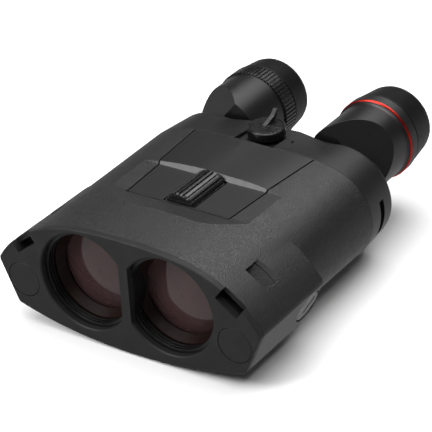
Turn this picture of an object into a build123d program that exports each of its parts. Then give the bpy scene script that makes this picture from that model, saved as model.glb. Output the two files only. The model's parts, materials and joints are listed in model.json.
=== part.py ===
from build123d import *
import math
import os

os.makedirs("parts", exist_ok=True)

# ---------------------------------------------------------------------------
# Image-stabilised binoculars, millimetres.  +Z is up, the objectives face -Y
# and the eyepieces face +Y.  The origin is under the middle of the body, on
# the surface it stands on.  "Left" and "right" are the user's own, so the
# left side is +X.  Depths are measured back from the front plate's face, and
# heights in the sections are measured from the objective axes.
# ---------------------------------------------------------------------------

LENGTH = 178.2            # front plate to the rims of the eyecups
AXIS_Z = 30.0             # height of the objective axes above the surface
FRONT = -LENGTH / 2       # Y of the front plate's face
OBJECTIVE_X = 21.6        # half the distance between the objective axes
APERTURE_R = 23.3         # front window openings
DIVIDER = 2.25            # half width of the bar between the two openings

WIDE_CORNER = (68.5, -0.4)    # outer upper corner of a side block
LOW_CORNER = (59.8, -20.9)    # outer lower corner of a side block
BLOCK_END = 52.0          # depth where the side blocks end
BLOCK_ROUND = 2.5         # rounding of that rear end
PLATE_T = 3.0             # front plate thickness
SKIN = 1.3                # rubber armour and smooth panels
SHELL_GAP = 0.1           # joint between the skin and the shells
SHELL_T = 2.0             # housing shells
SEAM = 104.0              # depth where the armour meets the rear housing
HOUSING_END = 126.8       # rear face of the rear housing

RECESS_Z = 23.0           # flat floor around the focus roller
BAND_START, RECESS_START = 30.0, 43.3
RAMP_START, RAMP_END = 69.4, 71.6
PANEL = [(26.4, 42.2), (28.2, 69.2), (28.9, 71.8), (31.8, 104.0)]
PANEL_GAP = 0.7

ROLLER_R, ROLLER_Z = 8.6, 19.0
ROLLER_START, ROLLER_LENGTH = 44.0, 25.0
SHAFT_R = 1.5

DIAL_DEPTH, DIAL_R = 115.2, 8.95
DIAL_BOTTOM, DIAL_TOP = 23.6, 28.2

CAP_X, CAP_Z, CAP_R = 55.3, -8.1, 8.4
CELL_R, CELL_LENGTH = 7.25, 50.5      # AA cell

PORT_DEPTH, PORT_DROP, PORT_R = 43.0, 10.5, 8.6     # lock disc in a side block
LOCK_SHAFT_R = 2.4

TURRET_X, TURRET_Z = 35.4, -2.3       # axis that an eyepiece turret swings on
EYE_X, EYE_Z = 33.77, 10.7            # eyepiece axis at rest
BARREL_R = 18.9
BARREL_START = 128.05
NECK_R, NECK_BORE = 14.94, 15.0
EYE_TUBE_R = 15.6
EYECUP_RIM_R = 17.8

GLASS_CLEAR = 0.05
RUNNING_FIT = 0.07        # rings and cups
PIVOT_FIT = 0.06          # small pins and rods
BACK = (0, 1, 0)          # lengthwise, from the front plate to the eyecups


def station(depth):
    """Cross-section plane at a depth: x to the left side, y up."""
    return Plane(origin=(0, FRONT + depth, AXIS_Z), x_dir=(1, 0, 0), z_dir=(0, -1, 0))


def level(height):
    """Horizontal plane at a height above the objective axes."""
    return Plane.XY.offset(AXIS_Z + height)


def along(x, z):
    """Axis parallel to Y through a section point."""
    return Axis((x, FRONT, AXIS_Z + z), (0, 1, 0))


def turned(x, z, profile):
    """Solid of revolution about a lengthwise axis; profile is (depth, radius)."""
    plane = Plane(origin=(x, FRONT, AXIS_Z + z), x_dir=(0, 1, 0), z_dir=(1, 0, 0))
    with BuildPart() as part:
        with BuildSketch(plane):
            with BuildLine():
                Polyline(*profile, close=True)
            make_face()
        revolve(axis=along(x, z))
    return part


def rod(x, z, start, end, radius):
    """Lengthwise cylinder."""
    with BuildPart() as part:
        with BuildSketch(station(start)):
            with Locations((x, z)):
                Circle(radius)
        extrude(amount=start - end)
    return part.part


def bar(x, z, start, end, width, height, angle=0):
    """Lengthwise rectangular bar centred on a section point."""
    with BuildPart() as part:
        with BuildSketch(station(start)):
            with Locations(Location((x, z, 0), (0, 0, angle))):
                Rectangle(width, height)
        extrude(amount=start - end)
    return part.part


def keep(builder, name):
    builder.part.label = name
    export_step(builder.part, f"parts/{name}.step")


def keep_pair(builder, name):
    """Write the left piece and its mirror image on the right side."""
    keep(builder, f"{name}_left")
    with BuildPart() as twin:
        mirror(builder.part, about=Plane.YZ)
    keep(twin, f"{name}_right")


def keep_both(builder, name):
    """Write the left piece and its mirror image as one node of two solids."""
    with BuildPart() as both:
        add(builder.part)
        mirror(builder.part, about=Plane.YZ)
    keep(both, name)


# --- outer form ------------------------------------------------------------

def plate_top(x):
    s = (x / 60.4) ** 2
    return 26.6 - 6.03 * s - 11.11 * s * s


def plate_bottom(x):
    s = (x / 60.4) ** 2
    return -29.5 + 7.4 * s + 1.77 * s * s


FRONT_CORE = [(19, 26.0), (35, 23.1), (49, 17.4), (57.5, 9.6), (61, -1.0),
              (57.5, -13.5), (49, -22.2), (35, -26.9), (19, -28.8)]
SEAM_CORE = [(19, 24.5), (35, 23.4), (49, 19.3), (58, 10.6), (61.5, -1.9),
             (58, -14.4), (49, -23.0), (35, -27.2), (19, -28.6)]
REAR_CORE = [(15, 22.5), (26, 20.9), (35.4, 21.6), (47, 18.6), (56, 9.9), (59.35, -2.3),
             (56, -14.5), (47, -23.2), (35.4, -26.3), (19, -27.5)]


def shrink(points, inset):
    """Move the points of a closed clockwise outline straight inwards."""
    moved = []
    for i, point in enumerate(points):
        before, after = points[i - 1], points[(i + 1) % len(points)]
        first = Vector(point[0] - before[0], point[1] - before[1]).normalized()
        second = Vector(after[0] - point[0], after[1] - point[1]).normalized()
        inward = Vector(first.Y + second.Y, -first.X - second.X).normalized()
        miter = inset / inward.dot(Vector(first.Y, -first.X))
        moved.append((point[0] + inward.X * miter, point[1] + inward.Y * miter))
    return moved


def core_section(depth, right, top, bottom, inset=0.0):
    """Closed smooth section through the right-hand points and their mirror."""
    left = [(-x, z) for x, z in reversed(right)]
    outline = shrink([(0, top), *right, (0, bottom), *left], inset)
    with BuildSketch(station(depth)) as section:
        with BuildLine():
            Spline(*outline, periodic=True)
        make_face()
    return section.sketch


def plate_section(depth, inset=0.0):
    """Outline of the front plate, with its two side blocks."""
    (cx, cz), (dx, dz) = WIDE_CORNER, LOW_CORNER
    upper = [(x, plate_top(x)) for x in (-52, -36, -18, 0, 18, 36, 52)]
    lower = [(x, plate_bottom(x)) for x in (40, 20, 0, -20, -40)]
    outline = shrink([(-cx, cz), *upper, (cx, cz), (dx, dz), *lower, (-dx, dz)], inset)
    top, bottom = outline[:len(upper) + 2], outline[len(upper) + 2:]
    with BuildSketch(station(depth)) as section:
        with BuildLine():
            Spline(*top)
            Line(top[-1], bottom[0])
            Spline(*bottom)
            Line(bottom[-1], top[0])
        make_face()
        fillet(section.vertices(), 2.5 - inset / 2)
    return section.sketch


def top_relief(inset):
    """Everything above the band, the recess floor and the ramp to the deck."""
    floor = AXIS_Z + RECESS_Z - inset
    rise = 2.8
    with BuildPart() as relief:
        with BuildSketch(Plane.YZ.offset(-60)):
            with BuildLine():
                Polyline((FRONT + BAND_START, floor + rise), (FRONT + RECESS_START, floor),
                         (FRONT + RAMP_START, floor), (FRONT + RAMP_END, floor + rise),
                         (FRONT + RAMP_END, floor + 12), (FRONT + BAND_START, floor + 12),
                         close=True)
            make_face()
        extrude(amount=120)
    return relief.part


def side_plane(side, drop, depth, inset=0.0):
    """Plane on a side block's slanted face: x points back, z out of the face."""
    (cx, cz), (dx, dz) = WIDE_CORNER, LOW_CORNER
    run = math.hypot(cx - dx, cz - dz)
    down = Vector(dx - cx, 0, dz - cz) / run
    out = Vector(-down.Z, 0, down.X)
    foot = Vector(cx, FRONT + depth, AXIS_Z + cz) + down * drop - out * inset
    return Plane(origin=(side * foot.X, foot.Y, foot.Z), x_dir=(0, 1, 0),
                 z_dir=(side * out.X, 0, out.Z))


def block_corner(side, inset):
    """What the quarter round at a side block's low rear corner takes away."""
    radius = BLOCK_END - PORT_DEPTH - inset
    below = Align.MAX if side > 0 else Align.MIN
    with BuildPart() as corner:
        with BuildSketch(side_plane(side, PORT_DROP, PORT_DEPTH).offset(12)):
            Rectangle(20, 20, align=(Align.MIN, below))
            Circle(radius, mode=Mode.SUBTRACT)
        extrude(amount=-40)
    return corner.part


def body_form(inset):
    """Outer form of the main body, shrunk evenly by the inset."""
    with BuildPart() as blocks:
        extrude(plate_section(0, inset), amount=BLOCK_END - inset, dir=BACK)
        rear = blocks.faces().sort_by(Axis.Y)[-1]
        fillet(rear.edges(), BLOCK_ROUND - inset / 2)
        for side in (1, -1):
            add(block_corner(side, inset), mode=Mode.SUBTRACT)
    with BuildPart() as form:
        loft([core_section(0, FRONT_CORE, 26.6, -29.5, inset),
              core_section(SEAM, SEAM_CORE, 24.8, -29.2, inset)])
        add(blocks.part)
        add(top_relief(inset), mode=Mode.SUBTRACT)
    return form.part


OUTER = body_form(0)
UNDER_SKIN = body_form(SKIN)
SHELL_OUTER = body_form(SKIN + SHELL_GAP)
SHELL_INNER = body_form(SKIN + SHELL_GAP + SHELL_T)
SHELL_INNER_CLEAR = body_form(SKIN + SHELL_GAP + SHELL_T + 0.3)
BODY_START = PLATE_T + 0.1
BODY_REAR = SEAM - 0.1


# --- shared envelopes ------------------------------------------------------

def window(start, end, radius, flat):
    """Lengthwise prism about the left objective axis, cut flat by the divider."""
    with BuildPart() as prism:
        with BuildSketch(station(start)):
            with Locations((OBJECTIVE_X, 0)):
                Circle(radius)
            with Locations((flat, 0)):
                Rectangle(60, 60, align=(Align.MAX, Align.CENTER), mode=Mode.SUBTRACT)
        extrude(amount=start - end)
    return prism.part


def both_sides(part):
    """The part and its mirror image."""
    with BuildPart() as pair:
        add(part)
        mirror(part, about=Plane.YZ)
    return pair.part


# The battery tubes lean inwards and upwards towards the back, inside the core.
TUBE_TILT = Vector(-4.6, 53.0, 3.6).normalized()
TUBE_START = Vector(54.6, FRONT + BODY_START + 0.1, AXIS_Z - 7.9)
TUBE_OUTER_R, TUBE_LENGTH = 8.2, 54.5


def tube_rod(radius, start, length):
    """Cylinder on the left battery tube's axis, start measured along it."""
    with BuildPart() as part:
        with BuildSketch(Plane(origin=TUBE_START + TUBE_TILT * start, z_dir=TUBE_TILT)):
            Circle(radius)
        extrude(amount=length)
    return part.part


# Front strap channel: a notch in the plate's edge, a covered tunnel behind it
# and an open ramp that comes back out of the armour.
STRAP_FOOT, STRAP_TURN = (51.7, 8.9), -37.2
STRAP_W, STRAP_H = 12.4, 3.4
STRAP_BRIDGE = (3.6, 18.5)
STRAP_RAMP_END = 29.0


def strap_plane(depth):
    """Section plane turned so that x follows the shoulder and y leaves it."""
    turn = math.radians(STRAP_TURN)
    return Plane(origin=(STRAP_FOOT[0], FRONT + depth, AXIS_Z + STRAP_FOOT[1]),
                 x_dir=(math.cos(turn), 0, math.sin(turn)), z_dir=(0, -1, 0))


def strap_channel():
    """The free space of the left strap channel."""
    with BuildPart() as space:
        with BuildSketch(strap_plane(-1)):
            Rectangle(STRAP_W, 14, align=(Align.CENTER, Align.MIN))
        extrude(amount=-1 - STRAP_BRIDGE[0])
        with BuildSketch(strap_plane(-1)):
            Rectangle(STRAP_W, STRAP_H, align=(Align.CENTER, Align.MIN))
        extrude(amount=-2 - STRAP_BRIDGE[1])
        side = strap_plane(0)
        across = Plane(origin=side.origin - side.x_dir * STRAP_W / 2,
                       x_dir=(0, 1, 0), z_dir=side.x_dir)
        with BuildSketch(across):
            with BuildLine():
                Polyline((STRAP_BRIDGE[1], 0), (STRAP_BRIDGE[1] + 1, 0),
                         (STRAP_RAMP_END + 3, 8), (STRAP_RAMP_END + 3, 14),
                         (STRAP_BRIDGE[1], 14), close=True)
            make_face()
        extrude(amount=STRAP_W)
    return space.part


def strap_envelope(margin):
    """Block around the channel's floor and walls."""
    with BuildPart() as block:
        with BuildSketch(strap_plane(BODY_START)):
            with Locations((0, -1.4 - margin)):
                Rectangle(STRAP_W + 3 + 2 * margin, 16, align=(Align.CENTER, Align.MIN))
        extrude(amount=BODY_START - STRAP_RAMP_END - margin)
    return block.part


STRAP_SPACE = strap_channel()


def port_rod(radius, top, bottom):
    """Cylinder on the left lock disc's axis, heights along the face's normal."""
    with BuildPart() as part:
        with BuildSketch(side_plane(1, PORT_DROP, PORT_DEPTH).offset(bottom)):
            Circle(radius)
        extrude(amount=top - bottom)
    return part.part


def side_region(margin):
    """Space that holds the left smooth side panel."""
    with BuildPart() as region:
        with BuildSketch(station(BODY_START)):
            with BuildLine():
                Polyline((75, -0.9 + margin), (68.0, -1.2 + margin), (60 - margin, -6),
                         (55 - margin, -16), (58.6, -20.1 - margin), (75, -27 - margin),
                         close=True)
            make_face()
        extrude(amount=BODY_START - BLOCK_END - 0.5)
    return region.part


def panel_plan(margin):
    """Space above the top panel's outline."""
    right = [(x + margin, FRONT + depth) for x, depth in PANEL]
    front, rear = (right[0][0], right[0][1] - margin), (right[-1][0], FRONT + SEAM)
    outline = [front, *right[1:-1], rear]
    with BuildPart() as region:
        with BuildSketch(level(15)):
            with BuildLine():
                Polyline(*outline, *[(-x, y) for x, y in reversed(outline)], close=True)
            make_face()
        extrude(amount=20)
    return region.part


def slab(x_half, start, end, low, high):
    """Box centred on x = 0 between two depths and two section heights."""
    with BuildPart() as part:
        with BuildSketch(level(low)):
            with Locations((0, FRONT + (start + end) / 2)):
                Rectangle(2 * x_half, end - start)
        extrude(amount=high - low)
    return part.part


# --- skins and shells ------------------------------------------------------

COVER_HALF, COVER_START, COVER_END = 20.0, 12.0, 100.0
BUSH_DEPTH, BUSH_R, BUSH_BORE = 58.0, 5.5, 2.6

with BuildPart() as rubber_armour:
    add(OUTER)
    add(UNDER_SKIN, mode=Mode.SUBTRACT)
    add(slab(80, BODY_START, BODY_REAR, -40, 40), mode=Mode.INTERSECT)
    add(panel_plan(PANEL_GAP), mode=Mode.SUBTRACT)
    add(both_sides(side_region(0.25)), mode=Mode.SUBTRACT)
    add(both_sides(STRAP_SPACE), mode=Mode.SUBTRACT)
    add(slab(COVER_HALF + 0.3, COVER_START - 0.3, COVER_END + 0.3, -35, -20), mode=Mode.SUBTRACT)
keep(rubber_armour, "rubber_armour")

with BuildPart() as top_panel:
    add(OUTER)
    add(UNDER_SKIN, mode=Mode.SUBTRACT)
    add(slab(80, 40, BODY_REAR, 15, 40), mode=Mode.INTERSECT)
    add(panel_plan(0), mode=Mode.INTERSECT)
    add(slab(8.5, 43.5, 69.5, 15, 40), mode=Mode.SUBTRACT)
keep(top_panel, "top_panel")

with BuildPart() as side_panel:
    add(OUTER)
    add(UNDER_SKIN, mode=Mode.SUBTRACT)
    add(side_region(0), mode=Mode.INTERSECT)
    add(port_rod(PORT_R - 0.5, 3, -3), mode=Mode.SUBTRACT)
keep_pair(side_panel, "side_panel")

with BuildPart() as shell_wall:
    add(SHELL_OUTER)
    add(SHELL_INNER, mode=Mode.SUBTRACT)
    add(slab(80, BODY_START, BODY_REAR, -40, 40), mode=Mode.INTERSECT)
    add(both_sides(window(0, 30, 23.5, 0)), mode=Mode.SUBTRACT)
    add(both_sides(tube_rod(TUBE_OUTER_R + 0.1, -5, TUBE_LENGTH + 5.2)), mode=Mode.SUBTRACT)
    add(both_sides(strap_envelope(0.1)), mode=Mode.SUBTRACT)
    add(both_sides(port_rod(LOCK_SHAFT_R + PIVOT_FIT, 3, -8)), mode=Mode.SUBTRACT)
    add(slab(9.2, 40.9, 72.6, 10, 40), mode=Mode.SUBTRACT)

SPLIT_Z = -2.0
with BuildPart() as upper_shell:
    add(shell_wall.part)
    add(slab(80, 0, 110, SPLIT_Z + 0.05, 40), mode=Mode.INTERSECT)
keep(upper_shell, "upper_shell")

with BuildPart() as lower_shell:
    add(shell_wall.part)
    add(slab(80, 0, 110, -40, SPLIT_Z - 0.05), mode=Mode.INTERSECT)
    with BuildSketch(level(-27.2)):
        with Locations((0, FRONT + BUSH_DEPTH)):
            Circle(BUSH_R + 2.5)
    extrude(amount=5.2)
    with BuildSketch(level(-40)):
        with Locations((0, FRONT + BUSH_DEPTH)):
            Circle(BUSH_R)
    extrude(amount=30, mode=Mode.SUBTRACT)
keep(lower_shell, "lower_shell")

COVER_SCREWS = [(x, FRONT + depth) for x in (-15, 15) for depth in (18, 94)]
SCREW_R, SCREW_HEAD_R = 1.0, 1.9
SCREW_SUNK = 0.2          # heads and bush sit this far inside the underside
with BuildPart() as bottom_cover:
    add(slab(COVER_HALF, COVER_START, COVER_END, -AXIS_Z, -28.3))
    fillet(bottom_cover.edges().filter_by(Axis.Z), 4)
    fillet(bottom_cover.faces().sort_by(Axis.Z)[0].edges(), 0.5)
    with BuildSketch(Plane.XY):
        with Locations((0, FRONT + BUSH_DEPTH)):
            Circle(BUSH_R)
    extrude(amount=5, mode=Mode.SUBTRACT)
    with BuildSketch(Plane.XY):
        with Locations(COVER_SCREWS):
            Circle(SCREW_HEAD_R + 0.1)
    extrude(amount=0.9, mode=Mode.SUBTRACT)
    with BuildSketch(Plane.XY):
        with Locations(COVER_SCREWS):
            Circle(SCREW_R)
    extrude(amount=5, mode=Mode.SUBTRACT)
keep(bottom_cover, "bottom_cover")

with BuildPart() as cover_screws:
    with BuildSketch(Plane.XY.offset(SCREW_SUNK)):
        with Locations(COVER_SCREWS):
            Circle(SCREW_HEAD_R)
    extrude(amount=0.7)
    with BuildSketch(Plane.XY.offset(SCREW_SUNK)):
        with Locations(COVER_SCREWS):
            Circle(SCREW_R)
    extrude(amount=1.5)
    with BuildSketch(Plane.XY.offset(SCREW_SUNK)):
        with Locations(COVER_SCREWS):
            Rectangle(2.4, 0.5)
            Rectangle(0.5, 2.4)
    extrude(amount=0.4, mode=Mode.SUBTRACT)
keep(cover_screws, "cover_screws")

with BuildPart() as tripod_bush:
    with BuildSketch(Plane.XY.offset(SCREW_SUNK)):
        with Locations((0, FRONT + BUSH_DEPTH)):
            Circle(BUSH_R)
            Circle(BUSH_BORE, mode=Mode.SUBTRACT)
    extrude(amount=7.8)
keep(tripod_bush, "tripod_bush")

with BuildPart() as strap_lug:
    add(strap_envelope(0))
    add(SHELL_OUTER, mode=Mode.INTERSECT)
    add(STRAP_SPACE, mode=Mode.SUBTRACT)
keep_both(strap_lug, "strap_lugs")

with BuildPart() as lip:
    add(turned(OBJECTIVE_X, 0, [(-0.1, 0), (-0.1, APERTURE_R + 0.7), (0.6, APERTURE_R), (0.6, 0)]).part)
    add(window(-1, 1, 30, DIVIDER), mode=Mode.INTERSECT)

with BuildPart() as front_plate:
    extrude(plate_section(0), amount=PLATE_T, dir=BACK)
    chamfer(front_plate.faces().sort_by(Axis.Y)[0].edges(), 0.4)
    add(both_sides(window(-1, 5, APERTURE_R, DIVIDER)), mode=Mode.SUBTRACT)
    add(both_sides(lip.part), mode=Mode.SUBTRACT)
    with BuildSketch(station(-1)):
        with Locations((CAP_X, CAP_Z), (-CAP_X, CAP_Z)):
            Circle(CAP_R + RUNNING_FIT)
    extrude(amount=-6, mode=Mode.SUBTRACT)
    add(both_sides(STRAP_SPACE), mode=Mode.SUBTRACT)
keep(front_plate, "front_plate")


# --- rear housing ----------------------------------------------------------

def housing_form(start, end, inset):
    with BuildPart() as form:
        loft([core_section(start, SEAM_CORE, 24.8, -29.2, inset),
              core_section(end, REAR_CORE, 22.6, -28.0, inset)])
    return form


HOUSING_WALL = 2.2
RECESS_FLOOR = 22.3       # floor of the dial's recess
RECESS_HALF = 10.4
LUG_SLOT = (-13.0, 4.2)   # heights of the neck-strap slot
LUG_MID, LUG_HEIGHT = sum(LUG_SLOT) / 2, LUG_SLOT[1] - LUG_SLOT[0]
LUG_START, LUG_END = 113.4, 117.4
LUG_WALL = 2.0            # material above, below and in front of the slot
DIAL_BORE = 2.56
MARK_DEPTH = 0.25         # engraved marks on the deck

with BuildPart() as lug_post:
    add(bar(56, LUG_MID, LUG_START - LUG_WALL, 125.5, 7.0, LUG_HEIGHT + 2 * LUG_WALL))
    add(housing_form(SEAM + 0.1, HOUSING_END, 0.3).part, mode=Mode.INTERSECT)

with BuildPart() as rear_housing:
    add(housing_form(SEAM + 0.1, HOUSING_END, 0).part)
    fillet(rear_housing.faces().sort_by(Axis.Y)[-1].edges(), 2.5)
    add(housing_form(SEAM, HOUSING_END - 2.6, HOUSING_WALL).part, mode=Mode.SUBTRACT)
    add(slab(RECESS_HALF + 1.6, SEAM + 0.3, HOUSING_END - 2.0, 20.0, RECESS_FLOOR))
    add(slab(RECESS_HALF, SEAM - 1, HOUSING_END + 1, RECESS_FLOOR, 40), mode=Mode.SUBTRACT)
    add(both_sides(rod(TURRET_X, TURRET_Z, 110, 135, NECK_BORE)), mode=Mode.SUBTRACT)
    with BuildSketch(level(15)):
        with Locations((0, FRONT + DIAL_DEPTH)):
            Circle(DIAL_BORE)
    extrude(amount=10, mode=Mode.SUBTRACT)
    add(both_sides(lug_post.part))
    with BuildSketch(level(RECESS_FLOOR)):
        with Locations((7.9, FRONT + 108.0)):
            Circle(1.1)
            Circle(0.7, mode=Mode.SUBTRACT)
    extrude(amount=-MARK_DEPTH, mode=Mode.SUBTRACT)
    with BuildSketch(level(20.9)):
        with Locations((12.8, FRONT + DIAL_DEPTH)):
            Rectangle(3.6, 0.7)
        with Locations((14.6, FRONT + DIAL_DEPTH - 0.9)):
            Rectangle(0.7, 2.5)
    extrude(amount=5, mode=Mode.SUBTRACT)
    add(both_sides(bar(60, LUG_MID, LUG_START, LUG_END, 11, LUG_HEIGHT)), mode=Mode.SUBTRACT)
    add(both_sides(bar(55.6, LUG_MID, LUG_START, 130, 2.2, LUG_HEIGHT)), mode=Mode.SUBTRACT)
keep(rear_housing, "rear_housing")


# --- batteries ------------------------------------------------------------

TUBE_LIP = 0.9            # the tilted tube stops short of the plate
CELL_START = 1.4
with BuildPart() as battery_tube:
    add(tube_rod(TUBE_OUTER_R, TUBE_LIP, TUBE_LENGTH - TUBE_LIP))
    add(tube_rod(CELL_R + 0.2, -1, TUBE_LENGTH - 0.5), mode=Mode.SUBTRACT)
    add(tube_rod(2.5, TUBE_LENGTH - 2, 2), mode=Mode.SUBTRACT)
keep_pair(battery_tube, "battery_tube")

with BuildPart() as battery_cell:
    add(tube_rod(CELL_R, CELL_START, CELL_LENGTH - 1.3))
    fillet(battery_cell.edges().filter_by(GeomType.CIRCLE), 0.6)
    add(tube_rod(2.75, CELL_START + CELL_LENGTH - 1.4, 1.4))
keep_pair(battery_cell, "battery_cell")

cap_profile = [(0, 0), (0, CAP_R - 0.4), (0.4, CAP_R), (2.6, CAP_R), (2.6, 0)]
keep_pair(turned(CAP_X, CAP_Z, cap_profile), "battery_cap")
contact_profile = [(2.7, 0), (2.7, 6.3), (3.1, 6.3), (3.1, 3.6), (3.6, 3.0), (4.0, 3.0),
                   (4.0, 2.0), (4.3, 1.6), (4.3, 0)]
keep_pair(turned(CAP_X, CAP_Z, contact_profile), "battery_contact")


# --- objectives ------------------------------------------------------------

HOUSING_R, HOUSING_BORE = 23.4, 22.6
LENS_R = 20.6
HOUSING_FLAT = 0.4        # the two housings are flat where they nearly meet
LENS_FLAT = 2.7

with BuildPart() as objective_housing:
    add(window(3.2, 20.0, HOUSING_R, HOUSING_FLAT))
    add(window(3.0, 12.9, HOUSING_BORE, DIVIDER), mode=Mode.SUBTRACT)
    add(window(12.8, 19.0, LENS_R + GLASS_CLEAR, LENS_FLAT - GLASS_CLEAR), mode=Mode.SUBTRACT)
    add(window(18.9, 21.0, 19.3, LENS_FLAT + 0.5), mode=Mode.SUBTRACT)
    for ridge in (3.2, 4.9, 6.6):
        add(window(ridge, ridge + 0.7, HOUSING_BORE + 0.1, DIVIDER - 0.1))
        add(window(ridge - 0.1, ridge + 0.8, HOUSING_BORE - 0.9, DIVIDER), mode=Mode.SUBTRACT)
keep_pair(objective_housing, "objective_housing")

ring_profile = [(8.5, 21.5), (8.5, 22.5), (12.8, 22.5), (12.8, 19.1), (12.4, 19.0)]
with BuildPart() as retaining_ring:
    add(turned(OBJECTIVE_X, 0, ring_profile).part)
    add(window(0, 30, 30, DIVIDER + 0.15), mode=Mode.INTERSECT)
keep_pair(retaining_ring, "retaining_ring")


def swell_at(radius, swell, off_axis):
    """How far a spherical face of this swell has dropped at a distance off its axis."""
    sphere = (radius ** 2 + swell ** 2) / (2 * swell)
    return sphere - math.sqrt(sphere ** 2 - off_axis ** 2)


def glass(x, z, radius, edge, bulges):
    """Lens on a lengthwise axis: edge is (front, back), bulges its two faces'."""
    plane = Plane(origin=(x, FRONT, AXIS_Z + z), x_dir=(0, 1, 0), z_dir=(1, 0, 0))
    apex, tail = edge[0] - bulges[0], edge[1] + bulges[1]
    half = radius / 2
    with BuildPart() as lens:
        with BuildSketch(plane):
            with BuildLine():
                ThreePointArc((apex, 0), (apex + swell_at(radius, bulges[0], half), half),
                              (edge[0], radius))
                Line((edge[0], radius), (edge[1], radius))
                ThreePointArc((edge[1], radius),
                              (tail - swell_at(radius, bulges[1], half), half), (tail, 0))
                Line((tail, 0), (apex, 0))
            make_face()
        revolve(axis=along(x, z))
    return lens


with BuildPart() as objective_lens:
    add(glass(OBJECTIVE_X, 0, LENS_R, (14.0, 18.0), (3.0, 0.9)).part)
    add(window(0, 30, 30, LENS_FLAT), mode=Mode.INTERSECT)
keep_pair(objective_lens, "objective_lens")


# --- stabiliser: a pitch frame for both sides and a yaw frame for each ------

PITCH_DEPTH, PITCH_R, PITCH_BORE = 28.5, 17.6, 15.65
PITCH_HALF = 42.2         # reach of the pivot pins
PIVOT_R = 1.5
with BuildPart() as pitch_frame:
    with BuildSketch(station(PITCH_DEPTH - 1.5)):
        with Locations((OBJECTIVE_X, 0), (-OBJECTIVE_X, 0)):
            Circle(PITCH_R)
        Rectangle(2 * OBJECTIVE_X - 28, 8)
        with Locations((OBJECTIVE_X, 0), (-OBJECTIVE_X, 0)):
            Circle(PITCH_BORE, mode=Mode.SUBTRACT)
    extrude(amount=-3)
    with BuildSketch(Plane.YZ.offset(-PITCH_HALF)):
        with Locations((FRONT + PITCH_DEPTH, AXIS_Z)):
            Circle(PIVOT_R)
    extrude(amount=2 * PITCH_HALF)
    for x in (-OBJECTIVE_X, OBJECTIVE_X):
        add(rod(x, 0, 20, 40, PITCH_BORE), mode=Mode.SUBTRACT)
keep(pitch_frame, "pitch_frame")
keep_pair(glass(OBJECTIVE_X, 0, PITCH_BORE - GLASS_CLEAR, (27.4, 29.6), (0.5, 0.5)), "pitch_glass")

YAW_DEPTH, YAW_R, YAW_BORE = 36.2, 17.0, 15.05
YAW_HALF, YAW_PIVOT_R = 19.0, 1.2
with BuildPart() as yaw_frame:
    with BuildSketch(station(YAW_DEPTH - 1.2)):
        with Locations((OBJECTIVE_X, 0)):
            Circle(YAW_R)
    extrude(amount=-2.4)
    with BuildSketch(level(-YAW_HALF)):
        with Locations((OBJECTIVE_X, FRONT + YAW_DEPTH)):
            Circle(YAW_PIVOT_R)
    extrude(amount=2 * YAW_HALF)
    add(rod(OBJECTIVE_X, 0, 30, 40, YAW_BORE), mode=Mode.SUBTRACT)
keep_pair(yaw_frame, "yaw_frame")
keep_pair(glass(OBJECTIVE_X, 0, YAW_BORE - GLASS_CLEAR, (35.4, 37.0), (0.3, 0.3)), "yaw_glass")


# --- focusing --------------------------------------------------------------

RIDGES, RIDGE_GAP = 24, 0.9
with BuildPart() as focus_roller:
    with BuildSketch(station(ROLLER_START)):
        with Locations((0, ROLLER_Z)):
            Circle(ROLLER_R)
            Circle(SHAFT_R + 0.02, mode=Mode.SUBTRACT)
    extrude(amount=-ROLLER_LENGTH)
    chamfer(focus_roller.edges().filter_by(GeomType.CIRCLE).group_by(SortBy.RADIUS)[-1], 0.7)
    with BuildSketch(station(ROLLER_START)):
        with Locations((0, ROLLER_Z)):
            with PolarLocations(ROLLER_R, RIDGES):
                Rectangle(1.8, RIDGE_GAP)
    extrude(amount=-ROLLER_LENGTH, mode=Mode.SUBTRACT)
keep(focus_roller, "focus_roller")

SHAFT_START, THREAD_START, SHAFT_END = 40.9, 72.6, 81.4
THREAD_PITCH = 0.8
thread = []
for turn in range(int((SHAFT_END - 0.6 - THREAD_START) / THREAD_PITCH)):
    crest = THREAD_START + THREAD_PITCH * turn
    thread += [(crest, SHAFT_R), (crest + THREAD_PITCH / 2, SHAFT_R - 0.3)]
shaft_profile = [(SHAFT_START, 0), (SHAFT_START, SHAFT_R - 0.3), (SHAFT_START + 0.3, SHAFT_R),
                 *thread, (SHAFT_END - 0.5, SHAFT_R), (SHAFT_END, SHAFT_R - 0.5), (SHAFT_END, 0)]
keep(turned(0, ROLLER_Z, shaft_profile), "focus_shaft")

EAR_TOP = 21.4
with BuildPart() as focus_bracket:
    add(slab(8.8, 41.0, 72.2, 8.2, 9.7))
    for ear in (41.0, 70.0):
        with BuildSketch(station(ear)):
            with BuildLine():
                Polyline((-6, 8.2), (6, 8.2), (3.6, EAR_TOP - 1), (2.6, EAR_TOP),
                         (-2.6, EAR_TOP), (-3.6, EAR_TOP - 1), close=True)
            make_face()
        extrude(amount=-2.2)
    add(rod(0, ROLLER_Z, 40, 75, SHAFT_R + PIVOT_FIT), mode=Mode.SUBTRACT)
keep(focus_bracket, "focus_bracket")

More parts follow.
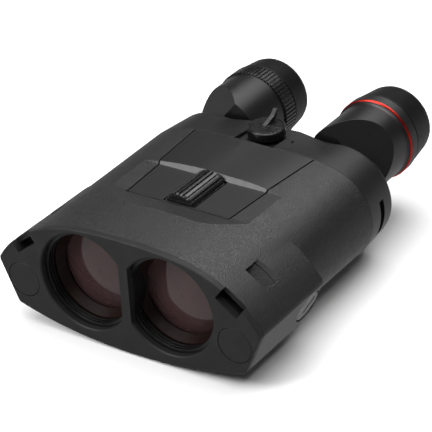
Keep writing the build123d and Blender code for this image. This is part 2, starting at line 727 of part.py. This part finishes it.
GUIDE_X, GUIDE_Z, GUIDE_R = 5.5, -6.0, 1.2
CARRIAGE_START, CARRIAGE_END = 50.0, 54.0
NUT_START, NUT_END = 75.0, 77.5
with BuildPart() as focus_carriage:
    with BuildSketch(station(CARRIAGE_START)):
        with Locations((OBJECTIVE_X, 0), (-OBJECTIVE_X, 0)):
            Circle(13.5)
        with Locations((0, -1.5)):
            Rectangle(22, 15)
        with Locations((OBJECTIVE_X, 0), (-OBJECTIVE_X, 0)):
            Circle(12.05, mode=Mode.SUBTRACT)
        with Locations((GUIDE_X, GUIDE_Z), (-GUIDE_X, GUIDE_Z)):
            Circle(GUIDE_R + PIVOT_FIT, mode=Mode.SUBTRACT)
    extrude(amount=CARRIAGE_START - CARRIAGE_END)
    add(slab(4, CARRIAGE_END - 1, NUT_END, 2.4, 5.4))
    add(slab(4, NUT_START, NUT_END, 2.4, 20.6))
    add(rod(0, ROLLER_Z, 70, 80, SHAFT_R + PIVOT_FIT), mode=Mode.SUBTRACT)
    add(slab(SHAFT_R + PIVOT_FIT, 70, 80, ROLLER_Z, 24), mode=Mode.SUBTRACT)
keep(focus_carriage, "focus_carriage")
keep_pair(glass(OBJECTIVE_X, 0, 12.0, (51.2, 52.8), (1.0, 1.0)), "focusing_lens")


# --- frame inside the body -------------------------------------------------

BULKHEADS = [(20.2, 22.2, 20.0), (38.6, 40.6, 14.5), (82.2, 84.2, 12.0)]
DECK_TOP, DECK_BOTTOM = -19.5, -21.5
PAD_X = 30.0              # feet that stand on the lower shell
PRISM_REST = -14.05       # top of the pads that the prism blocks stand on
with BuildPart() as chassis:
    add(slab(42, BULKHEADS[0][0], 122, DECK_BOTTOM, DECK_TOP))
    for start, end, hole in BULKHEADS:
        with BuildSketch(station(start)):
            with Locations((0, 0.5)):
                Rectangle(120, 44)
            with Locations((OBJECTIVE_X, 0), (-OBJECTIVE_X, 0)):
                Circle(hole, mode=Mode.SUBTRACT)
        extrude(amount=start - end)
    for x in (-PAD_X, PAD_X):
        add(bar(x, -23, 28, 36, 8, 6))
        add(bar(x, -23, 90, 98, 8, 6))
        add(bar(x - math.copysign(1.5, x), (DECK_TOP + PRISM_REST) / 2, 88, 114, 34, PRISM_REST - DECK_TOP))
    add(SHELL_INNER_CLEAR, mode=Mode.INTERSECT)
    add(slab(40, 103, 122, DECK_BOTTOM, DECK_TOP))
    add(slab(35, 100, 114, DECK_TOP - 0.5, PRISM_REST))
    for side in (-1, 1):
        for low, high in ((-19.2, -17.4), (17.4, 19.2)):
            add(bar(side * OBJECTIVE_X, (low + high) / 2, 33.6, 38.7, 6, high - low))
        add(bar(side * 41.0, -8.5, 25.5, 31.5, 2.8, 24))
    with BuildSketch(Plane.YZ.offset(-60)):
        with Locations((FRONT + PITCH_DEPTH, AXIS_Z)):
            Circle(PIVOT_R + PIVOT_FIT)
    extrude(amount=120, mode=Mode.SUBTRACT)
    with BuildSketch(level(-YAW_HALF - 0.3)):
        with Locations((OBJECTIVE_X, FRONT + YAW_DEPTH), (-OBJECTIVE_X, FRONT + YAW_DEPTH)):
            Circle(YAW_PIVOT_R + PIVOT_FIT)
    extrude(amount=2 * YAW_HALF + 0.6, mode=Mode.SUBTRACT)
    add(both_sides(tube_rod(TUBE_OUTER_R + 0.3, -5, TUBE_LENGTH + 6)), mode=Mode.SUBTRACT)
    add(both_sides(strap_envelope(0.3)), mode=Mode.SUBTRACT)
    for x in (-GUIDE_X, GUIDE_X):
        add(rod(x, GUIDE_Z, 40.4, 82.4, GUIDE_R))
keep(chassis, "chassis")

PRISM_WIDTH, PRISM_DEPTH, PRISM_HEIGHT = 37, 30, 28
with BuildPart() as prism_block:
    with BuildSketch(level(PRISM_REST + GLASS_CLEAR)):
        with Locations((28.5, FRONT + 101)):
            Rectangle(PRISM_WIDTH, PRISM_DEPTH)
    extrude(amount=PRISM_HEIGHT)
    chamfer(prism_block.edges().filter_by(Axis.Z), 3)
keep_both(prism_block, "prism_blocks")

with BuildPart() as control_board:
    add(slab(24, 30, 80, -24.4, -23.2))
    for x, depth, across in ((-12, 38, 8), (9, 40, 5), (-14, 70, 6), (13, 68, 9)):
        add(bar(x, -22.7, depth - across / 2, depth + across / 2, across, 1.1))
    with BuildSketch(level(-26)):
        with Locations((0, FRONT + BUSH_DEPTH)):
            Circle(8.3)
    extrude(amount=6, mode=Mode.SUBTRACT)
keep(control_board, "control_board")


# --- lock discs on the side blocks ------------------------------------------

SLOT_TURN = 50            # the coin slot's slope on the face
with BuildPart() as side_lock:
    add(port_rod(PORT_R - 0.9, -0.25, -SKIN))
    chamfer(side_lock.edges().group_by(Axis.X)[-1], 0.3)
    add(port_rod(LOCK_SHAFT_R, -SKIN, -3.9))
    with BuildSketch(side_plane(1, PORT_DROP, PORT_DEPTH)):
        with Locations(Location((1.4, 0, 0), (0, 0, SLOT_TURN))):
            Rectangle(8.5, 1.4)
    extrude(amount=-1.0, mode=Mode.SUBTRACT)
keep_pair(side_lock, "side_lock")


# --- mode dial ---------------------------------------------------------------

def upright(radius, low, high):
    """Cylinder standing on the dial's axis."""
    with BuildPart() as post:
        with BuildSketch(level(low)):
            with Locations((0, FRONT + DIAL_DEPTH)):
                Circle(radius)
        extrude(amount=high - low)
    return post


HUB_T = 0.3               # thin hub that the grip stands on
with BuildPart() as mode_dial:
    add(upright(DIAL_R, DIAL_BOTTOM, DIAL_TOP).part)
    chamfer(mode_dial.edges(), 0.5)
    with BuildSketch(level(DIAL_TOP)):
        with Locations((0, FRONT + DIAL_DEPTH)):
            Circle(DIAL_R - 1.0)
            Circle(DIAL_R - 1.4, mode=Mode.SUBTRACT)
        with Locations((5.9, FRONT + DIAL_DEPTH + 0.8)):
            Rectangle(3.6, 0.5)
    extrude(amount=-0.3, mode=Mode.SUBTRACT)
    add(upright(DIAL_BORE - PIVOT_FIT, 15.0, DIAL_BOTTOM + 0.2).part)
    add(upright(1.9, DIAL_TOP - 0.1, DIAL_TOP + HUB_T).part)
keep(mode_dial, "mode_dial")

GRIP_HALF = 1.05
GRIP = [(113.3, DIAL_TOP + HUB_T), (121.0, DIAL_TOP + HUB_T), (122.6, 30.2), (124.4, 33.4),
        (123.2, 33.4), (120.6, 31.2), (114.2, 29.3)]
with BuildPart() as dial_grip:
    with BuildSketch(Plane.YZ.offset(-GRIP_HALF)):
        with BuildLine():
            Polyline(*[(FRONT + depth, AXIS_Z + z) for depth, z in GRIP], close=True)
        make_face()
    extrude(amount=2 * GRIP_HALF)
    fillet(dial_grip.edges().filter_by(Axis.X), 0.25)
keep(dial_grip, "dial_grip")


# --- eyepiece turrets ----------------------------------------------------------

FLAT_DEPTH, FLAT_ACROSS, FLAT_UP = 122.4, 0.8, 0.7    # the slanted front flat
BARREL_END = 154.0
TUBE_END = 173.5
PRISM_W = 11.0
LINK = math.hypot(EYE_X - TURRET_X, EYE_Z - TURRET_Z)
LINK_TURN = math.degrees(math.atan2(EYE_Z - TURRET_Z, EYE_X - TURRET_X))
LINK_X, LINK_Z = (EYE_X + TURRET_X) / 2, (EYE_Z + TURRET_Z) / 2

flat_normal = Vector(-FLAT_ACROSS, 1, -FLAT_UP).normalized()
flat_point = (33.55, FRONT + FLAT_DEPTH, AXIS_Z + 10.25)
with BuildPart() as turret:
    add(rod(EYE_X, EYE_Z, BARREL_START, BARREL_END, BARREL_R))
    with BuildSketch(Plane(origin=flat_point, x_dir=(1, FLAT_ACROSS, 0), z_dir=flat_normal)):
        Rectangle(90, 90)
    extrude(amount=-60, mode=Mode.SUBTRACT)
    add(rod(TURRET_X, TURRET_Z, 127.4, 134.0, 17.5))
    add(rod(TURRET_X, TURRET_Z, 133.0, 149.5, 9.0))
    add(rod(TURRET_X, TURRET_Z, 122.9, 128.0, NECK_R))
    add(rod(EYE_X, EYE_Z, 150, TUBE_END, EYE_TUBE_R))
    add(rod(TURRET_X, TURRET_Z, 122, 135, 11.0), mode=Mode.SUBTRACT)
    add(bar(LINK_X, LINK_Z, 134.8, 146.2, LINK + PRISM_W + 0.4, PRISM_W + 0.4, LINK_TURN),
        mode=Mode.SUBTRACT)
    add(rod(EYE_X, EYE_Z, 146, 165.9, 10.0), mode=Mode.SUBTRACT)
    add(rod(EYE_X, EYE_Z, 165.8, 175, 11.05), mode=Mode.SUBTRACT)
    add(rod(EYE_X, EYE_Z, 170, 175, 13.2), mode=Mode.SUBTRACT)

with BuildPart() as turret_left:
    add(turret.part)
    flare = [(152.6, BARREL_R - 1), (152.6, BARREL_R), (153.4, BARREL_R + 0.25),
             (BARREL_END, BARREL_R + 0.7), (BARREL_END, BARREL_R - 1)]
    add(turned(EYE_X, EYE_Z, flare).part)
keep(turret_left, "turret_left")
with BuildPart() as turret_right:
    mirror(turret.part, about=Plane.YZ)
keep(turret_right, "turret_right")

with BuildPart() as rhomboid_prism:
    add(bar(LINK_X, LINK_Z, 135, 146, LINK + PRISM_W, PRISM_W, LINK_TURN))
keep_pair(rhomboid_prism, "rhomboid_prism")

keep_pair(glass(EYE_X, EYE_Z, 11.0, (167.0, 168.4), (1.0, 1.0)), "eye_lens")

SLEEVE_BORE = EYE_TUBE_R + 0.05
red_profile = [(154.1, SLEEVE_BORE), (154.1, 19.7), (154.5, 20.2), (155.0, 20.3),
               (155.0, SLEEVE_BORE)]
keep(turned(EYE_X, EYE_Z, red_profile), "red_ring")
band_profile = [(155.05, SLEEVE_BORE), (155.05, 20.0), (155.35, 20.3), (160.0, 20.3),
                (160.3, 20.0), (160.3, SLEEVE_BORE)]
keep(turned(EYE_X, EYE_Z, band_profile), "eyepiece_band")

DIOPTER_R, DIOPTER_RIBS = 19.8, 64
DIOPTER_START, DIOPTER_WIDTH = 154.2, 8.7
with BuildPart() as diopter_ring:
    with BuildSketch(station(DIOPTER_START)):
        with Locations((-EYE_X, EYE_Z)):
            Circle(DIOPTER_R)
            Circle(EYE_TUBE_R + RUNNING_FIT, mode=Mode.SUBTRACT)
    extrude(amount=-DIOPTER_WIDTH)
    chamfer(diopter_ring.edges().filter_by(GeomType.CIRCLE).group_by(SortBy.RADIUS)[-1], 0.25)
    with BuildSketch(station(DIOPTER_START)):
        with Locations((-EYE_X, EYE_Z)):
            with PolarLocations(DIOPTER_R, DIOPTER_RIBS):
                Rectangle(1.3, 0.85)
    extrude(amount=-DIOPTER_WIDTH, mode=Mode.SUBTRACT)
keep(diopter_ring, "diopter_ring")

GUIDE_START, GUIDE_END = 163.4, 165.8
GUIDE_RING_R = 16.3
guide_profile = [(GUIDE_START, EYE_TUBE_R + RUNNING_FIT), (GUIDE_START, GUIDE_RING_R),
                 (GUIDE_END, GUIDE_RING_R), (GUIDE_END, EYE_TUBE_R + RUNNING_FIT)]
keep_pair(turned(EYE_X, EYE_Z, guide_profile), "eyecup_guide")


def eyecup(side, start, radius):
    """Rubber cup with a rolled rim; the bore runs on the guide ring."""
    bore = GUIDE_RING_R + RUNNING_FIT
    outline = [(start, bore), (start, radius - 0.4), (start + 0.5, radius),
               (LENGTH - 3.0, EYECUP_RIM_R + 0.4), (LENGTH - 1.2, EYECUP_RIM_R - 0.2),
               (LENGTH, EYECUP_RIM_R - 1.4), (LENGTH, 15.2), (LENGTH - 0.7, 14.5),
               (LENGTH - 3.2, 14.5), (LENGTH - 3.9, bore - 0.8), (LENGTH - 3.9, bore)]
    return turned(side * EYE_X, EYE_Z, outline)


keep(eyecup(1, 160.6, 20.0), "eyecup_left")
keep(eyecup(-1, 163.2, 19.5), "eyecup_right")
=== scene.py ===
import json
import math
import bpy
from mathutils import Matrix, Vector


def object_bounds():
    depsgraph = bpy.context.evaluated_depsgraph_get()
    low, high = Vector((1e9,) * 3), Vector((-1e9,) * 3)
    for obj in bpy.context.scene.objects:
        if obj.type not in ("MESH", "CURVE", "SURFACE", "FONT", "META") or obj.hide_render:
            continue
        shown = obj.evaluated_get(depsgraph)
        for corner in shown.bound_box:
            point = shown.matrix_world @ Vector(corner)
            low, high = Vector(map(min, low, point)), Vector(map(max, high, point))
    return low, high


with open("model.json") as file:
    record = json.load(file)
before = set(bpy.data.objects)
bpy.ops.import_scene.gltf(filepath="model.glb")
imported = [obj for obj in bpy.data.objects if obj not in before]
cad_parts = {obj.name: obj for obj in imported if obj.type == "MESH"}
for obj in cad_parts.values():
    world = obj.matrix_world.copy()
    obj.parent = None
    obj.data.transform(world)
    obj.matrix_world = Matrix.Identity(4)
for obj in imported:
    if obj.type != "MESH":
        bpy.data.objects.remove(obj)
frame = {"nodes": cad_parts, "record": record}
cad_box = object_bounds()

MM = 0.001
CAMERA_PLACE = (0.4584, -0.6655, 0.4844)
CAMERA_AZIMUTH, CAMERA_ELEVATION, CAMERA_ROLL = (math.radians(a) for a in (35.31, 29.65, 3.70))
CAMERA_LENS = 169.5
FLOOR_HALF = 6.0
FLOOR_GAP = 0.2 * MM      # the floor lies just under the part


# --- camera ------------------------------------------------------------------

def add_camera():
    """The photograph's viewpoint: above the user's left front corner, slightly rolled."""
    back = Vector((math.sin(CAMERA_AZIMUTH) * math.cos(CAMERA_ELEVATION),
                   -math.cos(CAMERA_AZIMUTH) * math.cos(CAMERA_ELEVATION),
                   math.sin(CAMERA_ELEVATION)))
    data = bpy.data.cameras.new("camera")
    data.sensor_width = 36.0
    data.lens = CAMERA_LENS
    camera = bpy.data.objects.new("camera", data)
    bpy.context.scene.collection.objects.link(camera)
    upright = (-back).to_track_quat("-Z", "Y").to_matrix()
    turned = upright @ Matrix.Rotation(-CAMERA_ROLL, 3, "Z")
    camera.matrix_world = Matrix.Translation(CAMERA_PLACE) @ turned.to_4x4()
    data.clip_start = 0.05
    data.clip_end = 20.0
    bpy.context.scene.camera = camera


# --- materials ---------------------------------------------------------------

class Shader:
    """A Principled material with short calls for the nodes that feed it."""

    def __init__(self, name):
        self.material = bpy.data.materials.new(name)
        self.material.use_nodes = True
        self.tree = self.material.node_tree
        self.bsdf = self.tree.nodes["Principled BSDF"]
        self.place = self.node("ShaderNodeTexCoord").outputs["Object"]

    def node(self, kind, **settings):
        made = self.tree.nodes.new(kind)
        for key, value in settings.items():
            setattr(made, key, value)
        return made

    def link(self, out, into):
        self.tree.links.new(out, into)

    def noise(self, size, detail=2.0, stretch=(1, 1, 1)):
        """Noise whose blotches are about size metres across."""
        mapping = self.node("ShaderNodeMapping")
        mapping.inputs["Scale"].default_value = stretch
        self.link(self.place, mapping.inputs["Vector"])
        made = self.node("ShaderNodeTexNoise")
        made.inputs["Scale"].default_value = 1.0 / size
        made.inputs["Detail"].default_value = detail
        self.link(mapping.outputs["Vector"], made.inputs["Vector"])
        return made.outputs["Fac"]

    def pebbles(self, size):
        """Rounded grains about size metres across, unevenly tall."""
        cells = self.node("ShaderNodeTexVoronoi", feature="F1")
        cells.inputs["Scale"].default_value = 1.0 / size
        self.link(self.place, cells.inputs["Vector"])
        product = self.node("ShaderNodeMath", operation="MULTIPLY")
        self.link(self.spread(cells.outputs["Distance"], 1.0, 0.0, 0.0, 0.7), product.inputs[0])
        self.link(self.spread(self.noise(size * 0.6, 3.0), 0.2, 1.0), product.inputs[1])
        return product.outputs["Value"]

    def spread(self, value, low, high, start=0.3, end=0.7):
        """value from start..end mapped onto low..high."""
        made = self.node("ShaderNodeMapRange")
        made.inputs["From Min"].default_value = start
        made.inputs["From Max"].default_value = end
        made.inputs["To Min"].default_value = low
        made.inputs["To Max"].default_value = high
        self.link(value, made.inputs["Value"])
        return made.outputs["Result"]

    def blend(self, amount, first, second):
        """Colour between two colours, or between a node's output and a colour."""
        made = self.node("ShaderNodeMix", data_type="RGBA")
        self.link(amount, made.inputs["Factor"])
        for value, socket in ((first, made.inputs[6]), (second, made.inputs[7])):
            if isinstance(value, tuple):
                socket.default_value = (*value, 1.0)
            else:
                self.link(value, socket)
        return made.outputs[2]

    def edges(self, radius):
        """(softened normal, mask that is 1 on edges)."""
        bevel = self.node("ShaderNodeBevel", samples=6)
        bevel.inputs["Radius"].default_value = radius
        flat = self.node("ShaderNodeNewGeometry")
        dot = self.node("ShaderNodeVectorMath", operation="DOT_PRODUCT")
        self.link(bevel.outputs["Normal"], dot.inputs[0])
        self.link(flat.outputs["Normal"], dot.inputs[1])
        return bevel.outputs["Normal"], self.spread(dot.outputs["Value"], 1.0, 0.0, 0.75, 0.98)

    def bump(self, height, depth, normal=None):
        made = self.node("ShaderNodeBump")
        made.inputs["Strength"].default_value = 1.0
        made.inputs["Distance"].default_value = depth
        self.link(height, made.inputs["Height"])
        if normal is not None:
            self.link(normal, made.inputs["Normal"])
        return made.outputs["Normal"]


def grey(value):
    return (value, value, value * 1.03)


def moulded(name, colour, roughness, grain, depth, mottle=0.12, gloss_play=0.05,
            edge=0.25 * MM, edge_highlight_lift=1.5, pebbled=False, metallic=0.0, specular=0.5):
    """Plastic, rubber or paint: fine grain, faint mottling, edges lightened by a painted highlight.
    """
    s = Shader(name)
    normal, edge_highlight_mask = s.edges(edge)
    darker = tuple(c * (1 - mottle) for c in colour)
    lighter = tuple(c * (1 + mottle) for c in colour)
    body = s.blend(s.spread(s.noise(9 * MM, 4.0), 0.0, 1.0), darker, lighter)
    edge_highlight_amount = s.spread(edge_highlight_mask, 0.0, 0.6, 0.1, 1.0)
    if pebbled:                # painted shade as dark pits and painted highlight as pale crowns, at the size of the grain
        # painted shade in pits at a fifth of the colour, then painted highlight on crowns at 2.4
        # times it
        body = s.blend(s.spread(s.noise(grain, 1.0), 0.0, 1.0), tuple(c * 0.2 for c in colour), body)
        body = s.blend(s.spread(s.noise(grain * 0.7, 0.0), 0.0, 0.5), body,
                       # painted highlight: on edges the base colour is lifted towards a lighter copy
                       # of the colour
                       tuple(c * 2.4 for c in colour))
    s.link(s.blend(edge_highlight_amount, body, tuple(c * edge_highlight_lift for c in colour)), s.bsdf.inputs["Base Color"])
    s.link(s.spread(s.noise(3 * MM, 3.0), roughness - gloss_play, roughness + gloss_play),
           s.bsdf.inputs["Roughness"])
    fine = s.bump(s.noise(grain * 0.5, 2.0), depth * 0.4, normal)
    relief = s.pebbles(grain) if pebbled else s.noise(grain, 1.0)
    s.link(s.bump(relief, depth, fine), s.bsdf.inputs["Normal"])
    s.bsdf.inputs["Metallic"].default_value = metallic
    s.bsdf.inputs["Specular IOR Level"].default_value = specular
    return s.material


def brushed(name, colour, roughness, stretch):
    """Machined metal with fine tool marks across the stretch direction."""
    s = Shader(name)
    normal, _ = s.edges(0.15 * MM)
    marks = s.noise(0.5 * MM, 3.0, stretch)
    darker = tuple(c * 0.85 for c in colour)
    s.link(s.blend(s.spread(marks, 0.0, 1.0), darker, colour), s.bsdf.inputs["Base Color"])
    s.link(s.spread(marks, roughness - 0.08, roughness + 0.08), s.bsdf.inputs["Roughness"])
    s.link(s.bump(marks, 0.01 * MM, normal), s.bsdf.inputs["Normal"])
    s.bsdf.inputs["Metallic"].default_value = 1.0
    return s.material


def coated_glass(name, colour, film, transmission):
    """Lens glass: a tint with a thin coloured film that drifts slightly."""
    roughness = 0.04
    s = Shader(name)
    drift = s.spread(s.noise(14 * MM, 2.0), 0.0, 1.0, 0.35, 0.65)
    s.link(s.blend(drift, colour, film), s.bsdf.inputs["Base Color"])
    s.link(s.spread(s.noise(4 * MM, 3.0), roughness * 0.6, roughness * 1.4),
           s.bsdf.inputs["Roughness"])
    s.bsdf.inputs["Transmission Weight"].default_value = transmission
    s.bsdf.inputs["IOR"].default_value = 1.52
    return s.material


def board_material():
    """Solder-masked circuit board with faint tracks."""
    s = Shader("board")
    tracks = s.node("ShaderNodeTexBrick")
    tracks.inputs["Scale"].default_value = 300.0
    tracks.inputs["Mortar Size"].default_value = 0.03
    tracks.inputs["Color1"].default_value = (0.01, 0.09, 0.03, 1)
    tracks.inputs["Color2"].default_value = (0.012, 0.11, 0.04, 1)
    tracks.inputs["Mortar"].default_value = (0.03, 0.18, 0.08, 1)
    s.link(s.place, tracks.inputs["Vector"])
    s.link(tracks.outputs["Color"], s.bsdf.inputs["Base Color"])
    s.link(s.spread(s.noise(2 * MM), 0.25, 0.45), s.bsdf.inputs["Roughness"])
    s.link(s.bump(tracks.outputs["Fac"], 0.03 * MM), s.bsdf.inputs["Normal"])
    return s.material


def make_materials():
    return {
        "armour": moulded("armour", grey(0.006), 0.44, 0.60 * MM, 0.17 * MM, pebbled=True,
                          edge=0.4 * MM, specular=0.45),
        "satin_plastic": moulded("satin_plastic", grey(0.005), 0.40, 0.35 * MM, 0.014 * MM,
                                 mottle=0.05, gloss_play=0.015, specular=0.46),
        "front_plastic": moulded("front_plastic", grey(0.015), 0.50, 0.30 * MM, 0.010 * MM,
                                 edge=0.3 * MM, edge_highlight_lift=2.5, specular=0.16),
        "shell_plastic": moulded("shell_plastic", grey(0.005), 0.36, 0.4 * MM, 0.015 * MM,
                                 specular=0.4),
        "turret_paint": moulded("turret_paint", grey(0.005), 0.36, 0.25 * MM, 0.012 * MM,
                                gloss_play=0.02, specular=0.42),
        "cup_rubber": moulded("cup_rubber", grey(0.004), 0.42, 0.35 * MM, 0.015 * MM,
                              edge=0.5 * MM, specular=0.16),
        "knob_plastic": moulded("knob_plastic", grey(0.006), 0.28, 0.30 * MM, 0.006 * MM,
                                edge_highlight_lift=2.5, specular=0.5),
        "red_anodised": moulded("red_anodised", (0.42, 0.022, 0.016), 0.30, 0.2 * MM,
                                0.004 * MM, metallic=0.95, edge_highlight_lift=1.2),
        "bezel_metal": moulded("bezel_metal", (0.010, 0.0045, 0.0035), 0.45, 0.3 * MM,
                               0.006 * MM, specular=0.12),
        "cell": moulded("cell", (0.10, 0.11, 0.12), 0.30, 0.3 * MM, 0.004 * MM, metallic=0.4),
        "frame_alloy": brushed("frame_alloy", (0.30, 0.30, 0.31), 0.45, (1, 6, 6)),
        "steel": brushed("steel", (0.52, 0.52, 0.53), 0.30, (1, 8, 1)),
        "brass": brushed("brass", (0.60, 0.42, 0.18), 0.32, (1, 1, 8)),
        "lens_glass": coated_glass("lens_glass", (0.037, 0.020, 0.020), (0.044, 0.024, 0.024),
                                   0.0),
        "plain_glass": coated_glass("plain_glass", (0.80, 0.86, 0.86), (0.86, 0.90, 0.88), 1.0),
        "board": board_material(),
    }


def dress_nodes(materials):
    """Give every carried-over CAD node the material of its slot in the record."""
    for part in frame["record"]["subparts"]:
        obj = frame["nodes"][part["node"]]
        chosen = materials[part["material_slot"]]
        obj.data.materials.clear()
        obj.data.materials.append(chosen)


# --- studio --------------------------------------------------------------------

def plain(name, colour, roughness):
    s = Shader(name)
    s.link(s.blend(s.spread(s.noise(0.2), 0.0, 1.0), tuple(c * 0.99 for c in colour), colour),
           s.bsdf.inputs["Base Color"])
    s.bsdf.inputs["Roughness"].default_value = roughness
    return s.material


def add_floor():
    low, high = -FLOOR_HALF, FLOOR_HALF
    mesh = bpy.data.meshes.new("floor")
    mesh.from_pydata([(low, low, 0), (high, low, 0), (high, high, 0), (low, high, 0)],
                     [], [(0, 1, 2, 3)])
    floor = bpy.data.objects.new("floor", mesh)
    bpy.context.scene.collection.objects.link(floor)
    floor.data.materials.append(plain("floor", (0.90, 0.90, 0.90), 0.9))
    floor.location.z = cad_box[0].z - FLOOR_GAP
    floor.visible_glossy = False


def add_light(name, place, aim, size, power):
    data = bpy.data.lights.new(name, "AREA")
    data.shape = "RECTANGLE"
    data.size, data.size_y = size
    data.energy = power
    light = bpy.data.objects.new(name, data)
    bpy.context.scene.collection.objects.link(light)
    light.location = place
    light.rotation_mode = "QUATERNION"
    light.rotation_quaternion = (Vector(aim) - Vector(place)).to_track_quat("-Z", "Y")


def add_world():
    """Dim all round, with a pale band low down that lights the sides."""
    world = bpy.data.worlds.new("studio")
    bpy.context.scene.world = world
    world.use_nodes = True
    nodes, links = world.node_tree.nodes, world.node_tree.links
    direction = nodes.new("ShaderNodeTexCoord")
    split = nodes.new("ShaderNodeSeparateXYZ")
    height = nodes.new("ShaderNodeMapRange")
    height.inputs["From Min"].default_value = -1.0
    ramp = nodes.new("ShaderNodeValToRGB")
    links.new(direction.outputs["Generated"], split.inputs["Vector"])
    links.new(split.outputs["Z"], height.inputs["Value"])
    links.new(height.outputs["Result"], ramp.inputs["Fac"])
    links.new(ramp.outputs["Color"], nodes["Background"].inputs["Color"])
    steps = ramp.color_ramp.elements
    steps[0].position = 0.0
    steps[0].color = (0.55, 0.55, 0.55, 1)
    steps[1].position = 1.0
    steps[1].color = (0.15, 0.15, 0.15, 1)
    for place, level in ((0.42, 0.55), (0.50, 0.35), (0.58, 0.10), (0.70, 0.05), (0.85, 0.06)):
        step = steps.new(place)
        step.color = (level, level, level, 1)
    nodes["Background"].inputs["Strength"].default_value = 1.0


def add_studio():
    add_world()
    add_light("back", (0.00, 0.60, 1.00), (0, 0, 0.03), (0.8, 0.6), 8.0)
    add_light("front_left", (-0.50, -0.75, 0.70), (0, 0, 0.03), (0.5, 0.35), 9.0)
    add_light("floor_wash", (0.0, 0.0, 3.0), (0, 0, 0), (4.0, 4.0), 130.0)
    bpy.context.scene.view_settings.view_transform = "Standard"


materials = make_materials()
dress_nodes(materials)
add_camera()
add_floor()
add_studio()
